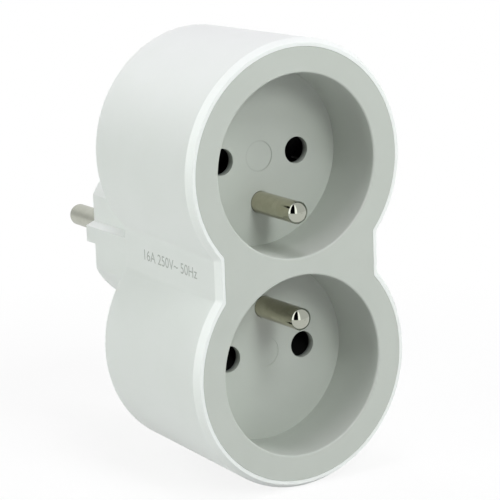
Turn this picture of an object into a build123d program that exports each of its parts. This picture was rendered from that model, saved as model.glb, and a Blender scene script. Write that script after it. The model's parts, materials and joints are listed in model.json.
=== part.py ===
"""Double socket plug adapter: two round-pin sockets with male earth pins, fed by one plug.

The origin is the centre of the plug's end face. +Y points out of the plug towards the wall, the sockets
face -Y, X runs across the adapter and +Z is up. All sizes are in millimetres and degrees.
"""

import os

from build123d import *

os.makedirs("parts", exist_ok=True)

# Pins and holes of the socket system
pin_dia = 4.8
pin_pitch = 19.0
pin_length = 19.0
pin_dome = 1.9
pin_hole_dia = 5.8
plug_earth_hole_dia = 5.6
earth_offset = 10.0
earth_tip_rise = 1.0
earth_insertion = 14.0

# Sockets and front plate
well_dia = 39.1
well_depth = 14.4
well_draft = 0.9
well_web = 3.9
well_wall = 2.2
well_edge_round = 0.4
floor_thickness = 1.7
floor_mark_dia = 6.5
floor_mark_depth = 0.15
land_width = 5.5
plate_thickness = 2.4
plate_waist = 37.6

# Housing
draft = 2.35
rim_width = 1.75
rim_bevel_width = 1.5
rim_bevel_depth = 1.0
ledge_width = 0.8
waist_corner = 1.0
rear_wall = 2.4
rear_round = 0.6

# Plug boss, a disc with flattened sides and a rib on each flat
boss_length = 18.5
boss_wall = 2.0
boss_end_wall = 3.0
boss_end_bevel = 0.6
boss_flat_depth = 2.1
boss_rib_base = 5.2
boss_rib_top = 3.6

# Shutters, sprung slides with a ramp in front of each pin hole
shutter_depth = 6.0
shutter_lap = 0.4
shutter_land = 0.8
bridge_width = 2.5
shutter_over_travel = 0.2
guide_thickness = 1.4
spring_length = 10.0
spring_dia = 3.6
spring_wire = 0.5
spring_wire_sides = 6
spring_turns = 5
spring_peg_length = 1.5
spring_seat_depth = 0.5

# Contacts, strips and the carrier that holds them
clip_thickness = 0.6
clip_width = 6.0
clip_grip = 0.5
clip_flare = 0.9
clip_belly = 0.9
clip_bend = 1.0
clip_mouth_length = 1.6
clip_grip_length = 3.2
bus_thickness = 1.0
bus_width = 6.0
bus_overhang = 4.5
bus_leg_spread = 13.0
bus_bend = 1.5
bus_side_room = 1.4
earth_bar_width = 8.0
earth_bar_thickness = 1.0
link_thickness = 0.8
link_width = 6.0
link_height = 3.0
link_foot = 8.0
link_bend = 1.2
carrier_thickness = 2.0
carrier_wall = 1.2
carrier_waist = 30.0
earth_pad_width = 2.4

# Turned pins, rivets and screws
pin_relief_length = 0.8
pin_relief_depth = 0.2
collar_step = 1.2
collar_height = 1.6
tail_dia = 3.2
tail_head_dia = 5.0
tail_head_height = 0.8
rivet_dia = 2.0
rivet_head_dia = 3.6
rivet_head_height = 0.5
pad_height = 1.8
pad_wall = 1.2
screw_dia = 3.0
screw_length = 12.0
screw_point = 1.5
screw_head_dia = 5.6
screw_head_height = 1.9
screw_seat = 2.4
screw_recess_width = 0.8
screw_recess_length = 3.2
screw_recess_depth = 1.1
counterbore_depth = 2.4
post_wall = 1.1

# Clearances
plate_gap = 0.05
pin_gap = 0.05
slide_gap = 0.3
spring_gap = 0.05
assembly_gap = 0.3
pin_end_gap = 0.3

# Outlines that the housing and the plate share
socket_z = (well_dia + well_web) / 2
plate_radius = well_dia / 2 + land_width
body_radius = plate_radius + plate_gap + rim_width
body_waist = plate_waist + 2 * (plate_gap + rim_width)
cup_radius = well_dia / 2 + well_wall

# Depths, counted back from the plug's end face
body_depth = (
    well_depth
    + pin_length
    + pin_end_gap
    + rivet_head_height
    + clip_thickness
    + bus_thickness
    + pad_height
    + rear_wall
)
rear_y = -boss_length
front_y = rear_y - body_depth
floor_y = front_y + well_depth
floor_back_y = floor_y + floor_thickness
shutter_y = floor_back_y + slide_gap
carrier_y = shutter_y + shutter_depth + slide_gap
inner_rear_y = rear_y - rear_wall
bus_back_y = inner_rear_y - pad_height
bus_y = bus_back_y - bus_thickness
clip_length = bus_y - (carrier_y + carrier_thickness) - clip_thickness

# Places across the adapter
pole_x = pin_pitch / 2
pin_bore_radius = pin_dia / 2 + pin_gap
earth_z = socket_z - earth_offset
pin_points = [(x, z) for x in (-pole_x, pole_x) for z in (-socket_z, socket_z)]
boss_flat = pole_x + bus_width / 2 + bus_side_room + boss_wall
boss_radius = boss_flat + boss_flat_depth

# Shutter travel and the screw posts that the springs push against, measured outwards from a socket's centre
blade_half = pin_hole_dia / 2 + shutter_lap
bridge_end = blade_half + bridge_width
shutter_travel = blade_half + pin_hole_dia / 2 + shutter_over_travel
shutter_half_width = pole_x + blade_half
spring_y = shutter_y + shutter_depth / 2
seat_offset = bridge_end + spring_length
post_radius = screw_dia / 2 + post_wall
post_z = socket_z + seat_offset + spring_seat_depth + post_radius
screw_seat_y = rear_y - counterbore_depth
post_end_y = screw_seat_y - screw_seat
counterbore_radius = screw_head_dia / 2 + assembly_gap


def back_plane(y, x=0, z=0):
    """A plane across the adapter, facing the plug side, with its own Y upwards."""
    return Plane((x, y, z), x_dir=(-1, 0, 0), z_dir=(0, 1, 0))


def axis_plane(x, y, z, towards):
    """A level plane through a point, with its own Y along the adapter: towards is 1 for +Y and -1 for -Y."""
    return Plane((x, y, z), x_dir=(towards, 0, 0), z_dir=(0, 0, 1))


def lobed_outline(radius, waist):
    """A circle around each socket, joined by a flat-sided waist with rounded corners."""
    with BuildSketch(mode=Mode.PRIVATE) as outline:
        with Locations((0, socket_z), (0, -socket_z)):
            Circle(radius)
        Rectangle(waist, 2 * socket_z)
        fillet(outline.vertices(), waist_corner)
    add(outline.sketch)


def boss_outline(inset):
    """The plug boss's disc with its two flats, drawn in from the outside by inset."""
    Circle(boss_radius - inset)
    Rectangle(2 * (boss_flat - inset), 2 * boss_radius, mode=Mode.INTERSECT)


def strip_section(points, bend, thickness):
    """The edge-on section of a folded strip that lies to the right of the line through points."""
    with BuildLine() as strip:
        FilletPolyline(*points, radius=bend)
        offset(amount=thickness, side=Side.RIGHT, closed=True)
    make_face(strip.edges())


def turned_section(root_length, free_length, strip_thickness):
    """Half the section of a turned pin: riveted tail, collar, root in the wall, relief, shank and dome."""
    radius = pin_dia / 2
    relief = root_length - pin_relief_length
    shoulder = root_length + free_length - pin_dome
    tip = root_length + free_length
    dome_radius = (radius**2 + pin_dome**2) / (2 * pin_dome)
    tail = -collar_height - strip_thickness
    with BuildLine() as half:
        Polyline(
            (0, tip),
            (0, tail - tail_head_height),
            (tail_head_dia / 2, tail - tail_head_height),
            (tail_head_dia / 2, tail),
            (tail_dia / 2, tail),
            (tail_dia / 2, -collar_height),
            (radius + collar_step, -collar_height),
            (radius + collar_step, 0),
            (radius, 0),
            (radius, relief),
            (radius - pin_relief_depth, relief),
            (radius - pin_relief_depth, root_length),
            (radius, root_length),
            (radius, shoulder),
        )
        RadiusArc((radius, shoulder), (0, tip), -dome_radius)
    make_face(half.edges())


def clip_section(length):
    """The edge-on section of a sprung contact: a base, two legs that close on the pin, and a flared mouth."""
    base = pin_dia / 2 + clip_belly + clip_thickness
    throat = (pin_dia - clip_grip) / 2 + clip_thickness
    throat_y = length - clip_mouth_length
    leg = [(throat + clip_flare, length), (throat, throat_y), (base, throat_y - clip_grip_length), (base, 0)]
    strip_section(leg + [(-x, y) for x, y in reversed(leg)], clip_bend, clip_thickness)


# Housing: a drafted shell with a bevelled rim, and the plug boss moulded to its rear
with BuildPart() as housing:
    with BuildSketch(back_plane(front_y)):
        lobed_outline(body_radius, body_waist)
    extrude(amount=body_depth, taper=draft)
    fillet(housing.faces().sort_by(Axis.Y)[-1].edges(), rear_round)
    rim = housing.faces().sort_by(Axis.Y)[0]
    chamfer(rim.edges(), rim_bevel_depth, rim_bevel_width, reference=rim)
    with BuildSketch(back_plane(rear_y)):
        boss_outline(0)
        for side in (-1, 1):
            Polygon(
                (side * (boss_flat - boss_wall), -boss_rib_base / 2),
                (side * boss_flat, -boss_rib_base / 2),
                (side * boss_radius, -boss_rib_top / 2),
                (side * boss_radius, boss_rib_top / 2),
                (side * boss_flat, boss_rib_base / 2),
                (side * (boss_flat - boss_wall), boss_rib_base / 2),
                align=None,
            )
    extrude(amount=boss_length)
    chamfer(housing.faces().sort_by(Axis.Y)[-1].edges(), boss_end_bevel)
    with BuildSketch(back_plane(front_y)):
        lobed_outline(plate_radius + plate_gap, plate_waist + 2 * plate_gap)
    extrude(amount=plate_thickness, taper=draft, mode=Mode.SUBTRACT)
    with BuildSketch(back_plane(front_y)):
        lobed_outline(plate_radius + plate_gap - ledge_width, plate_waist + 2 * (plate_gap - ledge_width))
    extrude(amount=inner_rear_y - front_y, taper=draft, mode=Mode.SUBTRACT)
    with BuildSketch(back_plane(inner_rear_y)):
        boss_outline(boss_wall)
    extrude(amount=-boss_end_wall - inner_rear_y, mode=Mode.SUBTRACT)
    with BuildSketch(back_plane(post_end_y)):
        with Locations((0, post_z), (0, -post_z)):
            Circle(counterbore_radius + pad_wall)
    extrude(amount=inner_rear_y - post_end_y)
    with BuildSketch(back_plane(bus_back_y)):
        with Locations(*pin_points):
            Circle(rivet_head_dia / 2 + assembly_gap + pad_wall)
            Circle(rivet_head_dia / 2 + assembly_gap, mode=Mode.SUBTRACT)
    extrude(amount=pad_height)
    with Locations(*[back_plane(rear_y, 0, z) for z in (post_z, -post_z)]):
        CounterBoreHole(
            radius=screw_dia / 2 + pin_gap,
            counter_bore_radius=counterbore_radius,
            counter_bore_depth=counterbore_depth,
            depth=rear_y - post_end_y,
        )
    with Locations(*[back_plane(0, x, 0) for x in (-pole_x, pole_x)]):
        Hole(radius=pin_bore_radius, depth=boss_end_wall)
    with Locations(back_plane(0, 0, earth_offset)):
        Hole(radius=plug_earth_hole_dia / 2, depth=boss_end_wall)
housing.part.label = "housing"
export_step(housing.part, "parts/housing.step")

# Front plate: the face with its two wells, and behind them the screw posts and the shutters' guide ribs
with BuildPart() as front_plate:
    with BuildSketch(back_plane(front_y)):
        lobed_outline(plate_radius, plate_waist)
    extrude(amount=plate_thickness, taper=draft)
    with BuildSketch(back_plane(front_y)):
        with Locations((0, socket_z), (0, -socket_z)):
            Circle(cup_radius)
    extrude(amount=floor_back_y - front_y)
    with BuildSketch(back_plane(floor_back_y)):
        with Locations((0, post_z), (0, -post_z)):
            Circle(post_radius)
    extrude(amount=post_end_y - floor_back_y)
    with BuildSketch(back_plane(floor_back_y)):
        for side in (-1, 1):
            with Locations((0, side * (socket_z + seat_offset + (post_radius + spring_seat_depth) / 2))):
                Rectangle(2 * post_radius, post_radius + spring_seat_depth)
            guide_x = shutter_half_width + slide_gap + guide_thickness / 2
            guide_length = blade_half + bridge_end + shutter_travel
            with Locations(
                (guide_x, side * (socket_z - blade_half + guide_length / 2)),
                (-guide_x, side * (socket_z - blade_half + guide_length / 2)),
            ):
                Rectangle(guide_thickness, guide_length)
    extrude(amount=carrier_y - floor_back_y)
    with BuildSketch(back_plane(front_y)):
        with Locations((0, socket_z), (0, -socket_z)):
            Circle(well_dia / 2)
    extrude(amount=well_depth, taper=well_draft, mode=Mode.SUBTRACT)
    mouths = front_plate.edges().filter_by(GeomType.CIRCLE).filter_by(lambda e: e.radius == well_dia / 2)
    fillet(mouths, well_edge_round)
    with BuildSketch(back_plane(floor_y)):
        with Locations((0, socket_z), (0, -socket_z)):
            Circle(floor_mark_dia / 2)
    extrude(amount=floor_mark_depth, mode=Mode.SUBTRACT)
    with Locations(*[back_plane(floor_back_y, x, z) for x, z in pin_points]):
        Hole(radius=pin_hole_dia / 2, depth=floor_thickness)
    with Locations(*[back_plane(floor_back_y, 0, z) for z in (earth_z, -earth_z)]):
        Hole(radius=pin_bore_radius, depth=floor_thickness)
    with Locations(*[back_plane(post_end_y, 0, z) for z in (post_z, -post_z)]):
        Hole(radius=screw_dia / 2 + pin_gap, depth=screw_length - screw_seat + assembly_gap)
front_plate.part.label = "front_plate"
export_step(front_plate.part, "parts/front_plate.step")

# Plug pins: turned, riveted to the busbars, with a collar behind the boss's end wall
for pole, side in (("live", -1), ("neutral", 1)):
    with BuildPart() as plug_pin:
        with BuildSketch(axis_plane(side * pole_x, -boss_end_wall, 0, 1)):
            turned_section(boss_end_wall, pin_length, bus_thickness)
        revolve(axis=Axis((side * pole_x, 0, 0), (0, 1, 0)))
    plug_pin.part.label = f"{pole}_plug_pin"
    export_step(plug_pin.part, f"parts/{pole}_plug_pin.step")

# Socket earth pins: the same turned form, riveted to the earth bar behind the well floors
for place, side in (("upper", 1), ("lower", -1)):
    with BuildPart() as earth_pin:
        with BuildSketch(axis_plane(0, floor_back_y, side * earth_z, -1)):
            turned_section(floor_thickness, well_depth + earth_tip_rise, earth_bar_thickness)
        revolve(axis=Axis((0, 0, side * earth_z), (0, 1, 0)))
    earth_pin.part.label = f"earth_pin_{place}"
    export_step(earth_pin.part, f"parts/earth_pin_{place}.step")

# Shutters: two ramped blades joined by a bridge, with a peg that holds the spring
for place, side in (("upper", 1), ("lower", -1)):
    with BuildPart() as shutter:
        for x in (-pole_x, pole_x):
            with BuildSketch(Plane.YZ.offset(x)):
                with BuildLine():
                    Polyline(
                        (shutter_y, side * (socket_z + blade_half)),
                        (shutter_y + shutter_depth, side * (socket_z + blade_half)),
                        (shutter_y + shutter_depth, side * (socket_z - blade_half)),
                        (shutter_y + shutter_depth - shutter_land, side * (socket_z - blade_half)),
                        (shutter_y, side * (socket_z + blade_half - shutter_land)),
                        close=True,
                    )
                make_face()
            extrude(amount=blade_half, both=True)
        with BuildSketch(Plane((0, spring_y, side * (socket_z + blade_half)), z_dir=(0, 0, side))):
            Rectangle(2 * shutter_half_width, shutter_depth)
        extrude(amount=bridge_width)
        with BuildSketch(Plane((0, spring_y, side * (socket_z + bridge_end)), z_dir=(0, 0, side))):
            Circle(spring_dia / 2 - spring_wire - slide_gap)
        extrude(amount=spring_peg_length)
    shutter.part.label = f"shutter_{place}"
    export_step(shutter.part, f"parts/shutter_{place}.step")

# Shutter springs: coils between a shutter's bridge and the seat on a screw post, with the thin wire six-sided
for place, side in (("upper", 1), ("lower", -1)):
    coil_height = spring_length - 2 * spring_gap - spring_wire
    coil_start = socket_z + bridge_end + spring_gap + spring_wire / 2
    with BuildPart() as shutter_spring:
        with BuildLine() as coil:
            Helix(
                pitch=coil_height / spring_turns,
                height=coil_height,
                radius=(spring_dia - spring_wire) / 2,
                center=(0, spring_y, side * coil_start),
                direction=(0, 0, side),
            )
        with BuildSketch(Plane(coil.line @ 0, z_dir=coil.line % 0)):
            RegularPolygon(spring_wire / 2, spring_wire_sides)
        sweep(is_frenet=True)
    shutter_spring.part.label = f"shutter_spring_{place}"
    export_step(shutter_spring.part, f"parts/shutter_spring_{place}.step")

# Contact carrier: closes the shutter space, and holds each clip in a chimney and the earth bar on pads
chimney_x = pin_dia + 2 * (clip_belly + clip_thickness + assembly_gap)
chimney_z = clip_width + 2 * assembly_gap
earth_bar_y = floor_back_y + collar_height
earth_bar_back_y = earth_bar_y + earth_bar_thickness
earth_pad_z = earth_z - tail_head_dia / 2 - assembly_gap - earth_pad_width / 2
with BuildPart() as contact_carrier:
    with BuildSketch(back_plane(carrier_y)):
        lobed_outline(well_dia / 2, carrier_waist)
    extrude(amount=carrier_thickness)
    with BuildSketch(back_plane(carrier_y + carrier_thickness)):
        with Locations(*pin_points):
            Rectangle(chimney_x + 2 * carrier_wall, chimney_z + 2 * carrier_wall)
            Rectangle(chimney_x, chimney_z, mode=Mode.SUBTRACT)
    extrude(amount=bus_y - carrier_y - carrier_thickness)
    with BuildSketch(back_plane(earth_bar_back_y)):
        with Locations((0, earth_pad_z), (0, -earth_pad_z)):
            Rectangle(earth_bar_width, earth_pad_width)
    extrude(amount=carrier_y - earth_bar_back_y)
    with BuildSketch(back_plane(carrier_y)):
        with Locations(*pin_points):
            Circle(pin_hole_dia / 2 + assembly_gap)
        with Locations((0, post_z), (0, -post_z)):
            Circle(post_radius + assembly_gap)
        with Locations((0, link_height - link_thickness / 2)):
            Rectangle(link_width + 2 * assembly_gap, link_thickness + 2 * assembly_gap)
    extrude(amount=carrier_thickness, mode=Mode.SUBTRACT)
contact_carrier.part.label = "contact_carrier"
export_step(contact_carrier.part, "parts/contact_carrier.step")

# Socket contacts: one sprung clip behind each pin hole, riveted to its busbar
for pole, x in (("live", -pole_x), ("neutral", pole_x)):
    for place, z in (("upper", socket_z), ("lower", -socket_z)):
        with BuildPart() as clip:
            with BuildSketch(axis_plane(x, bus_y, z, -1)):
                clip_section(clip_length)
            extrude(amount=clip_width / 2, both=True)
            with Locations(back_plane(bus_y, x, z)):
                Hole(radius=rivet_dia / 2 + pin_gap, depth=clip_thickness)
        clip.part.label = f"{pole}_clip_{place}"
        export_step(clip.part, f"parts/{pole}_clip_{place}.step")

# Busbars: folded strips that join both clips of a pole and dip into the plug boss to its pin
bus_end_z = socket_z + bus_overhang
crown_y = -boss_end_wall - collar_height - bus_thickness
leg_z = bus_leg_spread / 2
for pole, x in (("live", -pole_x), ("neutral", pole_x)):
    with BuildPart() as busbar:
        with BuildSketch(Plane.YZ.offset(x)):
            half = [(bus_y, -bus_end_z), (bus_y, -leg_z), (crown_y, -leg_z)]
            strip_section(half + [(y, -z) for y, z in reversed(half)], bus_bend, bus_thickness)
        extrude(amount=bus_width / 2, both=True)
        with Locations(back_plane(bus_back_y, x, socket_z), back_plane(bus_back_y, x, -socket_z)):
            Hole(radius=rivet_dia / 2 + pin_gap, depth=bus_thickness)
        with Locations(back_plane(crown_y + bus_thickness, x, 0)):
            Hole(radius=tail_dia / 2 + pin_gap, depth=bus_thickness)
    busbar.part.label = f"{pole}_busbar"
    export_step(busbar.part, f"parts/{pole}_busbar.step")

# Rivets: one through each clip's base and its busbar, with a head on both sides
with BuildPart() as clip_rivets:
    for x, z in pin_points:
        with BuildSketch(back_plane(bus_y - clip_thickness - rivet_head_height, x, z)):
            Circle(rivet_head_dia / 2)
        extrude(amount=rivet_head_height)
        with BuildSketch(back_plane(bus_y - clip_thickness, x, z)):
            Circle(rivet_dia / 2)
        extrude(amount=clip_thickness + bus_thickness)
        with BuildSketch(back_plane(bus_back_y, x, z)):
            Circle(rivet_head_dia / 2)
        extrude(amount=rivet_head_height)
clip_rivets.part.label = "clip_rivets"
export_step(clip_rivets.part, "parts/clip_rivets.step")

# Earth bar: a flat strip with round ends that joins the two earth pins
with BuildPart() as earth_bar:
    with BuildSketch(back_plane(earth_bar_y)):
        SlotCenterToCenter(2 * earth_z, earth_bar_width, rotation=90)
        with Locations((0, earth_z), (0, -earth_z)):
            Circle(tail_dia / 2 + pin_gap, mode=Mode.SUBTRACT)
    extrude(amount=earth_bar_thickness)
earth_bar.part.label = "earth_bar"
export_step(earth_bar.part, "parts/earth_bar.step")

# Earth link: a folded strip from the earth bar back into the plug boss
plug_clip_y = -earth_insertion - pin_end_gap - clip_thickness
link_end_y = plug_clip_y - link_thickness
with BuildPart() as earth_link:
    with BuildSketch(Plane.YZ):
        strip_section(
            [
                (earth_bar_back_y, link_height - link_foot),
                (earth_bar_back_y, link_height),
                (link_end_y, link_height),
                (link_end_y, earth_offset + clip_width / 2),
            ],
            link_bend,
            link_thickness,
        )
    extrude(amount=link_width / 2, both=True)
earth_link.part.label = "earth_link"
export_step(earth_link.part, "parts/earth_link.step")

# Plug earth contact: a sprung clip behind the plug's earth hole
with BuildPart() as plug_earth_clip:
    with BuildSketch(axis_plane(0, plug_clip_y, earth_offset, 1)):
        clip_section(-boss_end_wall - clip_thickness - plug_clip_y)
    extrude(amount=clip_width / 2, both=True)
plug_earth_clip.part.label = "plug_earth_clip"
export_step(plug_earth_clip.part, "parts/plug_earth_clip.step")

# Case screws: pan heads in the rear counterbores, threads in the front plate's posts
with BuildPart() as case_screws:
    for z in (post_z, -post_z):
        with BuildSketch(axis_plane(0, screw_seat_y, z, 1)):
            with BuildLine():
                Polyline(
                    (0, screw_head_height),
                    (0, -screw_length),
                    (screw_dia / 2, screw_point - screw_length),
                    (screw_dia / 2, 0),
                    (screw_head_dia / 2, 0),
                    (screw_head_dia / 2, screw_head_height / 2),
                )
                TangentArc(
                    (screw_head_dia / 2, screw_head_height / 2),
                    (screw_head_dia / 2 - screw_head_height / 2, screw_head_height),
                    tangent=(0, 1),
                )
                Line((screw_head_dia / 2 - screw_head_height / 2, screw_head_height), (0, screw_head_height))
            make_face()
        revolve(axis=Axis((0, 0, z), (0, 1, 0)))
        with BuildSketch(back_plane(screw_seat_y + screw_head_height, 0, z)):
            Rectangle(screw_recess_length, screw_recess_width)
            Rectangle(screw_recess_width, screw_recess_length)
        extrude(amount=-screw_recess_depth, mode=Mode.SUBTRACT)
case_screws.part.label = "case_screws"
export_step(case_screws.part, "parts/case_screws.step")
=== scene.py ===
"""Looks of the double socket plug adapter: its finishes, the rating print, the studio and the camera.

Everything is in metres in the part's own frame: the plug points along +Y, the sockets face -Y
and +Z is up.
"""

import json
import math

import bpy
from mathutils import Matrix, Vector


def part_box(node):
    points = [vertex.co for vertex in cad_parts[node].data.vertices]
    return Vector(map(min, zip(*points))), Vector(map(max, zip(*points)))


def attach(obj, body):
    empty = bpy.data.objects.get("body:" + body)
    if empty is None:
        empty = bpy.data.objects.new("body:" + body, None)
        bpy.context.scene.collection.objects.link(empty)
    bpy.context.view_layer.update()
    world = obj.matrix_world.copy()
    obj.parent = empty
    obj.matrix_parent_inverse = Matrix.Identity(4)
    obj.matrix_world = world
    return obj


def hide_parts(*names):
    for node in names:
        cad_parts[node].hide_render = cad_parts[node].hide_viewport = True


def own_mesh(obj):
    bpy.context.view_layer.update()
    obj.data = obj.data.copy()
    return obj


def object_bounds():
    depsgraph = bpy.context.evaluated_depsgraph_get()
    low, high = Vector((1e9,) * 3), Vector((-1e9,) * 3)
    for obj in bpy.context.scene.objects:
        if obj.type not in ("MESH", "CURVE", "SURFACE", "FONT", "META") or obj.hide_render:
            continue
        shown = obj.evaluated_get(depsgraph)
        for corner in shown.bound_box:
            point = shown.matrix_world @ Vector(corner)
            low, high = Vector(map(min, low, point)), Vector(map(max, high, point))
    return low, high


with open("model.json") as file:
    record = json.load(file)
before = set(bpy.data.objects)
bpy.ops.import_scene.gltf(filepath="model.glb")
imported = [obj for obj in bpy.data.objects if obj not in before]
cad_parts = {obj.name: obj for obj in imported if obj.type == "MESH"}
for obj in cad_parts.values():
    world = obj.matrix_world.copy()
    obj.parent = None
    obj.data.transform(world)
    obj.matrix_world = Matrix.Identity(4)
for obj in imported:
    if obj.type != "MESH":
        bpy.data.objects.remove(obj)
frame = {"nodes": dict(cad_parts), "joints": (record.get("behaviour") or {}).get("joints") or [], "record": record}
cad_low, cad_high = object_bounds()
nodes = frame["nodes"]
mounts = {mount["name"]: mount for mount in frame["record"]["mounts"]}
slots = {part["node"]: part["material_slot"] for part in frame["record"]["subparts"]}

MM = 0.001
TOUCH = 0.01 * MM
BODY = "adapter"
UP = Vector((0, 0, 1))

# View of the photograph, as a point to stand at, a direction in degrees and a lens on a 36 mm wide sensor
CAMERA_PLACE = Vector((-327.2, -542.0, 142.5)) * MM
CAMERA_AZIMUTH = 33.06
CAMERA_ELEVATION = 13.35
CAMERA_ROLL = -2.02
CAMERA_LENS = 206.5
SENSOR_WIDTH = 36.0

# Even light of the tent, and soft boxes: azimuth and elevation in degrees, power in watts and colour
BACKDROP_WHITE = (1.0, 1.0, 1.0, 1.0)
TENT_LIGHT = 0.312
LAMP_DISTANCE = 0.7
LAMP_SIZE = 0.18
LAMPS = {
    "front": (0, 25, 1.2, (0.98, 1.03, 0.98)),
    "front_top": (0, 45, 0.82, (0.97, 1.0, 1.02)),
    "top": (0, 80, 1.16, (1.05, 0.96, 1.07)),
    "left": (90, 8, 1.42, (0.97, 1.06, 0.96)),
    "right": (-60, 8, 1.18, (0.97, 1.05, 0.98)),
    "back": (180, 15, 1.3, (1.0, 1.02, 1.0)),
}

# Upright panels that only reflections show: azimuths of their edges in degrees, height and brightness
PANELS = {
    "panel_right": (8, 26, 2.3, 2.5),
    "dark_gap": (26, 66, 2.3, 0.0),
    "panel_left": (66, 92, 2.3, 2.5),
    "grey_back": (110, 180, 0.3, 0.66),
}

# Card on the floor in front, which only reflections show
CARD_HALF = 1.5
CARD_DEPTH = 2.5
CARD_BRIGHTNESS = 1.2

# Floor: pale grey paper for scattered light. The camera sees it white with a share of the part's shadow,
# which is whole up to the middle of its reach and fades out at the end of it
FLOOR_PAPER = (0.56, 0.56, 0.56, 1.0)
FLOOR_HALF = 3.0
FLOOR_SHADOW_SHARE = 0.15
FLOOR_SHADOW_REACH = 0.16
FLOOR_SHADOW_WHOLE = 0.5

# Most values of a noise lie between these
NOISE_LOW = 0.3
NOISE_HIGH = 0.7

# Colours, each with the darker one that its clouds, tarnish or patches reach
WHITE = ((0.86, 0.88, 0.87), (0.845, 0.868, 0.853))
GREY = ((0.53, 0.557, 0.52), (0.515, 0.543, 0.505))
BLACK = ((0.005, 0.005, 0.005), (0.003, 0.003, 0.003))
NICKEL = ((0.51, 0.52, 0.455), (0.465, 0.475, 0.41))
WORN_NICKEL = ((0.515, 0.488, 0.375), (0.455, 0.428, 0.32))
BRASS = ((0.75, 0.58, 0.28), (0.6, 0.43, 0.19))
WIRE = ((0.5, 0.5, 0.5), (0.42, 0.42, 0.41))
ZINC = ((0.62, 0.62, 0.6), (0.5, 0.5, 0.5))
INK = ((0.55, 0.57, 0.55), (0.4, 0.42, 0.4))

# Plastics: colours, roughness, size and relief of the grain, specular level and whether they get painted shade in
# the pin holes and round the upper mark
PLASTICS = {
    "white_shell": (WHITE, 0.42, 0.3 * MM, 0.006 * MM, 0.5, False),
    "grey_face": (GREY, 0.5, 0.25 * MM, 0.008 * MM, 0.36, True),
    "carrier_plastic": (BLACK, 0.6, 0.4 * MM, 0.006 * MM, 0.05, False),
    "shutter_plastic": (BLACK, 0.6, 0.3 * MM, 0.006 * MM, 0.05, False),
}
PLASTIC_CLOUDS = 9 * MM
PLASTIC_SHEEN_REACH = 0.06
PLASTIC_BUMP = 0.35

# Painted shade on the plate deep in the pin holes, which starts and is full at these shares of their depth,
# and a thin ring of painted shade round the moulding mark on the floor of the upper well
PAINTED_SHADE = (0.004, 0.004, 0.004)
SHADE_START = 0.25
SHADE_FULL = 1.25
HOLE_REACH = 5.0 * MM
HOLE_BLEND = 0.5 * MM
MARK_RADIUS = 3.25 * MM
MARK_BLEND = 0.25 * MM
MARK_SHADE = 0.12

# Pins: rings of the lathe, which are long round the shank and short along it, and a cloudy tarnish
PIN_RINGS = 0.12 * MM
RING_SQUEEZE = (0.02, 1.0, 0.02)
PIN_CLOUDS = 1.5 * MM
PIN_SHEEN_REACH = 0.05
PIN_RELIEF = 0.002 * MM
PLUG_PIN_ROUGHNESS = 0.36
EARTH_PIN_ROUGHNESS = 0.11

# Domes of the pins: buffed and without rings from just before the shank's end. Those of the earth pins are
# shallow caps of a sphere that meet the shank at a rim
DOME_COLOUR = (0.35, 0.363, 0.312)
DOME_BLEND = 0.2 * MM
DOME_ROUGHNESS = 0.05
DOME_LEVEL = 0.5
CAP_HEIGHT = 1.4 * MM

# Metals of the contacts, springs and screws: colours and roughness
STRIPS = {
    "contact_brass": (BRASS, 0.32),
    "spring_steel": (WIRE, 0.3),
    "screw_steel": (ZINC, 0.34),
}
STRIP_CLOUDS = 3 * MM
STRIP_GRAIN = 0.2 * MM
STRIP_SHEEN_REACH = 0.08
STRIP_RELIEF = 0.003 * MM
METAL_BUMP = 0.3

# Rating print on the left wall of the waist, where the capitals take up a share of the font's size
PRINT_TEXT = "16A 250V~ 50Hz"
PRINT_HEIGHT = 2.3 * MM
PRINT_SETBACK = 20.2 * MM
PRINT_THICKNESS = 0.02 * MM
CAP_SHARE = 0.7
INK_PATCHES = 0.4 * MM
INK_ROUGHNESS = 0.6


def add_object(name, data):
    """A new object in the scene."""
    piece = bpy.data.objects.new(name, data)
    bpy.context.scene.collection.objects.link(piece)
    return piece


def rectangle(name, left, right, low, high):
    """A flat rectangle."""
    corners = [(left, low, 0), (right, low, 0), (right, high, 0), (left, high, 0)]
    mesh = bpy.data.meshes.new(name)
    mesh.from_pydata(corners, [], [(0, 1, 2, 3)])
    return mesh


def start_material(name):
    """A material with a Principled shader, and its tree."""
    material = bpy.data.materials.new(name)
    material.use_nodes = True
    tree = material.node_tree
    return material, tree, tree.nodes["Principled BSDF"]


def add_node(tree, kind, **inputs):
    """A node of that kind with the named inputs set."""
    node = tree.nodes.new(kind)
    for name, value in inputs.items():
        node.inputs[name.replace("_", " ")].default_value = value
    return node


def part_coordinates(tree):
    """The part's own frame as a texture coordinate."""
    return tree.nodes.new("ShaderNodeTexCoord").outputs["Object"]


def noise(tree, place, feature, detail):
    """Soft noise with features of that size and so many finer layers."""
    node = add_node(tree, "ShaderNodeTexNoise", Scale=1 / feature, Detail=detail)
    tree.links.new(place, node.inputs["Vector"])
    return node.outputs["Fac"]


def spread(tree, value, low, high, start=NOISE_LOW, end=NOISE_HIGH):
    """A value between start and end spread over low to high."""
    node = add_node(tree, "ShaderNodeMapRange", From_Min=start, From_Max=end, To_Min=low, To_Max=high)
    tree.links.new(value, node.inputs["Value"])
    return node.outputs["Result"]


def around(tree, value, middle, reach):
    """A noise spread over a reach below and above the middle."""
    return spread(tree, value, middle - reach, middle + reach)


def calculate(tree, operation, *values):
    """The result of a calculation with one or two values."""
    node = tree.nodes.new("ShaderNodeMath")
    node.operation = operation
    for value, socket in zip(values, node.inputs):
        tree.links.new(value, socket)
    return node.outputs[0]


def away(tree, place, point):
    """The distance of a place from a point."""
    node = tree.nodes.new("ShaderNodeVectorMath")
    node.operation = "DISTANCE"
    node.inputs[1].default_value = point
    tree.links.new(place, node.inputs[0])
    return node.outputs["Value"]


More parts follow.
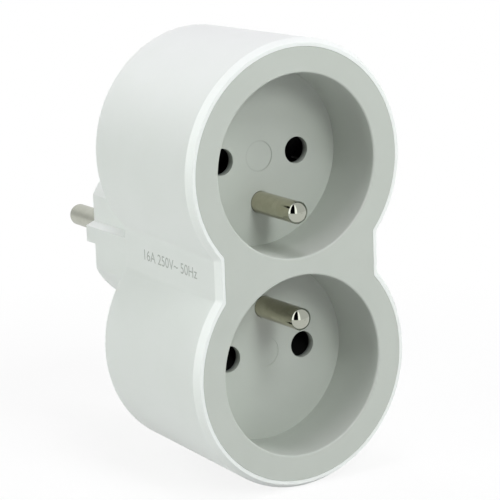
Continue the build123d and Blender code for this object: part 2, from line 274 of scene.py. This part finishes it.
def clouded(tree, clouds, colours):
    """The first of two colours at the peaks of a noise and the second in its hollows."""
    peaks, hollows = colours
    node = tree.nodes.new("ShaderNodeValToRGB")
    node.color_ramp.elements[0].color = (*hollows, 1.0)
    node.color_ramp.elements[1].color = (*peaks, 1.0)
    tree.links.new(spread(tree, clouds, 0, 1), node.inputs["Fac"])
    return node.outputs["Color"]


def mix_colours(tree, share, shown, colour):
    """The shown colour at share 0 and a plain one at share 1."""
    node = tree.nodes.new("ShaderNodeMix")
    node.data_type = "RGBA"
    node.inputs["B"].default_value = (*colour, 1.0)
    tree.links.new(share, node.inputs["Factor"])
    tree.links.new(shown, node.inputs["A"])
    return node.outputs["Result"]


def mix_values(tree, share, shown, value):
    """The shown value at share 0 and a plain one at share 1."""
    node = add_node(tree, "ShaderNodeMapRange", To_Max=value)
    tree.links.new(share, node.inputs["Value"])
    tree.links.new(shown, node.inputs["To Min"])
    return node.outputs["Result"]


def roughen(tree, shader, height, depth, strength):
    """Bump on the shader from a height value, with relief of that depth."""
    bump = add_node(tree, "ShaderNodeBump", Strength=strength, Distance=depth)
    tree.links.new(height, bump.inputs["Height"])
    tree.links.new(bump.outputs["Normal"], shader.inputs["Normal"])


def painted_shade_share(tree, place):
    """Share of painted shade on the plate: whole deep in its pin holes, and a little in a ring round the upper
    mark.
    """
    hole = mounts["upper_neutral_pin_hole"]
    x, y, z = hole["pos_m"]
    depth = hole["dims"]["length_mm"] * MM
    mouth = y - depth / 2
    split = tree.nodes.new("ShaderNodeSeparateXYZ")
    tree.links.new(place, split.inputs["Vector"])
    level = add_node(tree, "ShaderNodeCombineXYZ", Y=y)
    folded = add_node(tree, "ShaderNodeCombineXYZ", Y=y)
    for axis in ("X", "Z"):
        tree.links.new(split.outputs[axis], level.inputs[axis])
        tree.links.new(calculate(tree, "ABSOLUTE", split.outputs[axis]), folded.inputs[axis])
    from_hole = away(tree, folded.outputs["Vector"], (x, y, z))
    near = spread(tree, from_hole, 1, 0, HOLE_REACH - HOLE_BLEND, HOLE_REACH)
    # Painted shade that deepens into the pin holes, near their axes
    deep = add_node(tree, "ShaderNodeMapRange", To_Min=0.0)
    deep.inputs["From Min"].default_value = mouth + SHADE_START * depth
    deep.inputs["From Max"].default_value = mouth + SHADE_FULL * depth
    tree.links.new(split.outputs["Y"], deep.inputs["Value"])
    tree.links.new(near, deep.inputs["To Max"])
    from_mark = away(tree, level.outputs["Vector"], (0, y, z))
    # Thin ring of painted shade in the step round the upper mark
    inside = spread(tree, from_mark, 0, MARK_SHADE, MARK_RADIUS - MARK_BLEND, MARK_RADIUS)
    outside = spread(tree, from_mark, 1, 0, MARK_RADIUS, MARK_RADIUS + MARK_BLEND)
    ring = calculate(tree, "MULTIPLY", inside, outside)
    return calculate(tree, "MAXIMUM", deep.outputs["Result"], ring)


def moulded_plastic(name, colours, roughness, grain, relief, specular, has_painted_shade):
    """Moulded plastic: faint clouds in its colour, a fine eroded grain, an uneven sheen and any painted shade."""
    material, tree, shader = start_material(name)
    place = part_coordinates(tree)
    clouds = noise(tree, place, PLASTIC_CLOUDS, detail=3.0)
    fine = noise(tree, place, grain, detail=4.0)
    shader.inputs["Specular IOR Level"].default_value = specular
    shown = clouded(tree, clouds, colours)
    if has_painted_shade:
        # Painted shade: darker deep in the pin holes and in a ring round the upper mark
        shown = mix_colours(tree, painted_shade_share(tree, place), shown, PAINTED_SHADE)
    tree.links.new(shown, shader.inputs["Base Color"])
    tree.links.new(around(tree, fine, roughness, PLASTIC_SHEEN_REACH), shader.inputs["Roughness"])
    roughen(tree, shader, fine, relief, PLASTIC_BUMP)
    return material


def shank_end(name):
    """Where the shank of a pin mount ends along Y, and the way it points."""
    pin = mounts[name]
    way = pin["axis"][1]
    return pin["pos_m"][1] + way * pin["dims"]["length_mm"] / 2 * MM, way


def dome_share(tree, place, end, way):
    """0 on a pin's shank and 1 on its dome, which starts at that end."""
    split = tree.nodes.new("ShaderNodeSeparateXYZ")
    tree.links.new(place, split.inputs["Vector"])
    return spread(tree, split.outputs["Y"], 0, 1, end - way * DOME_BLEND, end)


def pin_metal(name, colours, roughness, end, way):
    """Plated pins off the lathe: rings round the shank, a cloudy tarnish on it, and domes buffed bright."""
    material, tree, shader = start_material(name)
    place = part_coordinates(tree)
    squeeze = add_node(tree, "ShaderNodeMapping", Scale=RING_SQUEEZE)
    tree.links.new(place, squeeze.inputs["Vector"])
    rings = noise(tree, squeeze.outputs["Vector"], PIN_RINGS, detail=2.0)
    clouds = noise(tree, place, PIN_CLOUDS, detail=3.0)
    dome = dome_share(tree, place, end, way)
    shader.inputs["Metallic"].default_value = 1.0
    shown = mix_colours(tree, dome, clouded(tree, clouds, colours), DOME_COLOUR)
    tree.links.new(shown, shader.inputs["Base Color"])
    sheen = around(tree, rings, roughness, PIN_SHEEN_REACH)
    tree.links.new(mix_values(tree, dome, sheen, DOME_ROUGHNESS), shader.inputs["Roughness"])
    roughen(tree, shader, mix_values(tree, dome, rings, DOME_LEVEL), PIN_RELIEF, METAL_BUMP)
    return material


def strip_metal(name, colours, roughness):
    """Rolled or drawn metal: a fine grain and a cloudy tarnish."""
    material, tree, shader = start_material(name)
    place = part_coordinates(tree)
    clouds = noise(tree, place, STRIP_CLOUDS, detail=4.0)
    fine = noise(tree, place, STRIP_GRAIN, detail=3.0)
    shader.inputs["Metallic"].default_value = 1.0
    tree.links.new(clouded(tree, clouds, colours), shader.inputs["Base Color"])
    tree.links.new(around(tree, fine, roughness, STRIP_SHEEN_REACH), shader.inputs["Roughness"])
    roughen(tree, shader, fine, STRIP_RELIEF, METAL_BUMP)
    return material


def make_finishes():
    """The finish of each material slot, and the worn one of the earth pins."""
    plug_end, plug_way = shank_end("live_plug_pin")
    cap_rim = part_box("earth_pin_upper")[0].y + CAP_HEIGHT
    finishes = {name: moulded_plastic(name, *values) for name, values in PLASTICS.items()}
    finishes["nickel_plate"] = pin_metal("nickel_plate", NICKEL, PLUG_PIN_ROUGHNESS, plug_end, plug_way)
    finishes["worn_nickel"] = pin_metal("worn_nickel", WORN_NICKEL, EARTH_PIN_ROUGHNESS, cap_rim, -1)
    for name, values in STRIPS.items():
        finishes[name] = strip_metal(name, *values)
    return finishes


def dress_nodes(finishes):
    """Gives each node the finish of its slot."""
    for name, slot in slots.items():
        nodes[name].material_slots[0].material = finishes[slot]


def stand_in(name, suffix):
    """A copy of a node that stands for it and rides with the body."""
    piece = add_object(f"{name}_{suffix}", nodes[name].data.copy())
    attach(piece, BODY)
    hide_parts(name)
    return piece


def cap_earth_pins(finish):
    """Earth pins with the worn finish, whose domes are caps of a sphere."""
    for place in ("upper", "lower"):
        name = f"earth_pin_{place}"
        pin = mounts[f"{place}_earth_pin"]
        end = shank_end(f"{place}_earth_pin")[0]
        sphere = ((pin["dims"]["r_mm"] * MM) ** 2 + CAP_HEIGHT**2) / (2 * CAP_HEIGHT)
        centre = Vector((pin["pos_m"][0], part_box(name)[0].y + sphere, pin["pos_m"][2]))
        mesh = stand_in(name, "capped").data
        mesh.materials[0] = finish
        normals = [corner.vector.copy() for corner in mesh.corner_normals]
        on_dome = {vertex.index for vertex in mesh.vertices if vertex.co.y < end + TOUCH}
        for index in on_dome:
            spot = mesh.vertices[index].co
            off_axis = math.hypot(spot.x - centre.x, spot.z - centre.z)
            spot.y = centre.y - math.sqrt(sphere**2 - off_axis**2)
        for face in mesh.polygons:
            if on_dome.issuperset(face.vertices):
                for corner, index in zip(face.loop_indices, face.vertices):
                    normals[corner] = (mesh.vertices[index].co - centre).normalized()
        mesh.normals_split_custom_set(normals)


def press_springs():
    """Coils in place of the shutter springs, each with a mesh of its own."""
    for joint in frame["joints"]:
        for spring in joint["deforming_nodes"]:
            coil = stand_in(spring["node"], "coil")
            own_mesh(coil)


def print_ink():
    """Grey pad-printing ink, a little patchy."""
    material, tree, shader = start_material("print_grey")
    patches = noise(tree, part_coordinates(tree), INK_PATCHES, detail=3.0)
    tree.links.new(clouded(tree, patches, INK), shader.inputs["Base Color"])
    shader.inputs["Roughness"].default_value = INK_ROUGHNESS
    return material


def rating_print():
    """A generic rating, printed in grey on the waist's left wall."""
    font = bpy.data.curves.new("rating_print", "FONT")
    font.body = PRINT_TEXT
    font.size = PRINT_HEIGHT / CAP_SHARE
    font.align_x = "CENTER"
    font.align_y = "CENTER"
    font.extrude = PRINT_THICKNESS / 2
    outline = add_object("rating_outline", font)
    bpy.context.view_layer.update()
    mesh = bpy.data.meshes.new_from_object(outline.evaluated_get(bpy.context.evaluated_depsgraph_get()))
    bpy.data.objects.remove(outline)
    mesh.materials.append(print_ink())
    piece = add_object("rating_print", mesh)
    housing_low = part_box("housing")[0]
    beside = Vector((2 * housing_low.x, housing_low.y + PRINT_SETBACK, 0))
    wall, out = nodes["housing"].ray_cast(beside, Vector((1, 0, 0)))[1:3]
    piece.matrix_world = Matrix((UP.cross(out), UP, out)).transposed().to_4x4()
    piece.matrix_world.translation = wall
    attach(piece, BODY)


def white_for_viewers(tree, lit, white):
    """The lit shader for scattered light, and the white one for what the camera, gloss and glass show."""
    path = tree.nodes.new("ShaderNodeLightPath").outputs
    seen = calculate(tree, "MAXIMUM", path["Is Camera Ray"], path["Is Glossy Ray"])
    seen = calculate(tree, "MAXIMUM", seen, path["Is Transmission Ray"])
    mix = tree.nodes.new("ShaderNodeMixShader")
    tree.links.new(seen, mix.inputs["Fac"])
    tree.links.new(lit, mix.inputs[1])
    tree.links.new(white, mix.inputs[2])
    return mix.outputs[0]


def make_world():
    """A white tent all round, which gives a part of the light."""
    world = bpy.data.worlds.new("backdrop")
    bpy.context.scene.world = world
    world.use_nodes = True
    tree = world.node_tree
    tree.nodes.clear()
    even = add_node(tree, "ShaderNodeBackground", Color=BACKDROP_WHITE, Strength=TENT_LIGHT)
    white = add_node(tree, "ShaderNodeBackground", Color=BACKDROP_WHITE, Strength=1.0)
    out = tree.nodes.new("ShaderNodeOutputWorld")
    shown = white_for_viewers(tree, even.outputs[0], white.outputs[0])
    tree.links.new(shown, out.inputs["Surface"])


def make_floor():
    """A floor under the lower socket: the camera sees it white, with the part's soft shadow close by."""
    mesh = rectangle("floor", -FLOOR_HALF, FLOOR_HALF, -FLOOR_HALF, FLOOR_HALF)
    floor = add_object("floor", mesh)
    middle = (cad_low + cad_high) / 2
    floor.location = (middle.x, middle.y, cad_low.z)
    material, tree, shader = start_material("floor")
    tree.nodes.remove(shader)
    paper = add_node(tree, "ShaderNodeBsdfDiffuse", Color=FLOOR_PAPER)
    shaded = add_node(tree, "ShaderNodeBsdfDiffuse", Color=BACKDROP_WHITE)
    white = add_node(tree, "ShaderNodeEmission", Color=BACKDROP_WHITE, Strength=1.0)
    shrink = add_node(tree, "ShaderNodeMapping", Scale=[1 / FLOOR_SHADOW_REACH] * 3)
    tree.links.new(part_coordinates(tree), shrink.inputs["Vector"])
    fade = tree.nodes.new("ShaderNodeTexGradient")
    fade.gradient_type = "SPHERICAL"
    tree.links.new(shrink.outputs["Vector"], fade.inputs["Vector"])
    veil = tree.nodes.new("ShaderNodeMixShader")
    share = spread(tree, fade.outputs["Fac"], 0, FLOOR_SHADOW_SHARE, 0, FLOOR_SHADOW_WHOLE)
    tree.links.new(share, veil.inputs["Fac"])
    tree.links.new(white.outputs[0], veil.inputs[1])
    tree.links.new(shaded.outputs[0], veil.inputs[2])
    shown = white_for_viewers(tree, paper.outputs[0], veil.outputs[0])
    tree.links.new(shown, tree.nodes["Material Output"].inputs["Surface"])
    mesh.materials.append(material)


def from_angles(azimuth, elevation):
    """The direction towards a viewer or lamp, where azimuth 0 is in front of the sockets."""
    level = math.cos(math.radians(elevation))
    turn = math.radians(azimuth)
    return Vector((-math.sin(turn) * level, -math.cos(turn) * level, math.sin(math.radians(elevation))))


def stand(name, data, azimuth, elevation):
    """An object that stands off from the part in that direction and faces it."""
    piece = add_object(name, data)
    towards = from_angles(azimuth, elevation)
    piece.location = (cad_low + cad_high) / 2 + towards * LAMP_DISTANCE
    piece.rotation_mode = "QUATERNION"
    piece.rotation_quaternion = (-towards).to_track_quat("-Z", "Y")
    return piece


def make_lamps():
    """The soft boxes round the part, which reflections don't show."""
    for name, (azimuth, elevation, power, colour) in LAMPS.items():
        lamp = bpy.data.lights.new(name, "AREA")
        lamp.shape = "SQUARE"
        lamp.size = LAMP_SIZE
        lamp.energy = power
        lamp.color = colour
        stand(name, lamp, azimuth, elevation).visible_glossy = False


def for_reflections(piece, brightness):
    """Makes a piece of the studio glow, for reflections alone."""
    piece.visible_camera = False
    piece.visible_diffuse = False
    piece.visible_shadow = False
    material, tree, shader = start_material(piece.name)
    shader.inputs["Base Color"].default_value = (0.0, 0.0, 0.0, 1.0)
    shader.inputs["Specular IOR Level"].default_value = 0.0
    shader.inputs["Emission Color"].default_value = BACKDROP_WHITE
    shader.inputs["Emission Strength"].default_value = brightness
    piece.data.materials.append(material)


def make_panels():
    """The panels and the card that metal and gloss show in place of the lamps."""
    foot = (cad_low.z - cad_high.z) / 2
    for name, (start, end, height, brightness) in PANELS.items():
        half = LAMP_DISTANCE * math.tan(math.radians(end - start) / 2)
        panel = stand(name, rectangle(name, -half, half, foot, height), (start + end) / 2, 0)
        for_reflections(panel, brightness)
    card = add_object("card", rectangle("card", -CARD_HALF, CARD_HALF, -CARD_DEPTH, 0))
    card.location = (0, cad_low.y, cad_low.z + TOUCH)
    for_reflections(card, CARD_BRIGHTNESS)


def make_camera():
    """The photograph's view."""
    data = bpy.data.cameras.new("camera")
    data.lens = CAMERA_LENS
    data.sensor_width = SENSOR_WIDTH
    camera = add_object("camera", data)
    back = from_angles(CAMERA_AZIMUTH, CAMERA_ELEVATION)
    right = UP.cross(back).normalized()
    turn = Matrix((right, back.cross(right), back)).transposed().to_4x4()
    roll = Matrix.Rotation(math.radians(CAMERA_ROLL), 4, "Z")
    camera.matrix_world = Matrix.Translation(CAMERA_PLACE) @ turn @ roll
    bpy.context.scene.camera = camera


finishes = make_finishes()
dress_nodes(finishes)
cap_earth_pins(finishes["worn_nickel"])
press_springs()
rating_print()
make_world()
make_floor()
make_lamps()
make_panels()
make_camera()
bpy.context.scene.view_settings.view_transform = "Standard"
